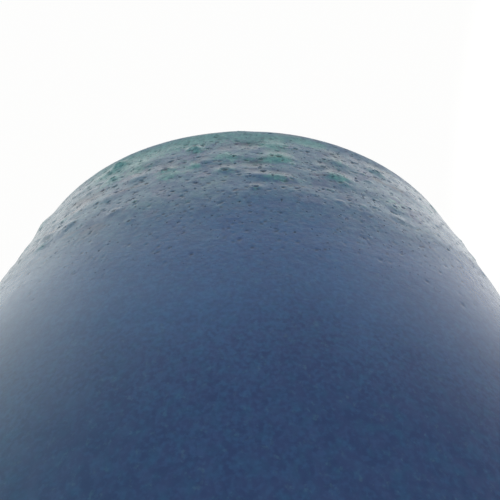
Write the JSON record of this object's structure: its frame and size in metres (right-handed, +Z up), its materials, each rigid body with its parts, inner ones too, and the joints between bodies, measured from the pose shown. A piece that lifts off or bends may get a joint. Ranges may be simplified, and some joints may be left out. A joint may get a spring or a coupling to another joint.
{
  "type": "stoneware vase",
  "caption": "Shouldered stoneware bottle vase with a short waisted neck, a luted foot ring, a matt cobalt glaze and a cratered grey-green volcanic glaze band round the shoulder.",
  "frame": {"origin": "on the vase's axis, on the plane that the foot ring stands on", "axes": "+Z up along the axis of revolution, towards the mouth; X and Y lie in the plane of the foot"},
  "size_m": [0.2067, 0.2068, 0.2715],
  "materials": {
    "stoneware": "unglazed fired stoneware, matt and slightly gritty",
    "cobalt_glaze": "satin matt, softly mottled",
    "volcanic_glaze": "satin, blistered and pitted",
    "liner_glaze": "smooth, glossy"
  },
  "bodies": {
    "root": {"clay_body": "stoneware", "neck_collar": "stoneware", "foot_ring": "stoneware", "base_glaze": "cobalt_glaze", "crater_glaze": "volcanic_glaze", "liner_glaze": "liner_glaze"}
  },
  "joints": []
}
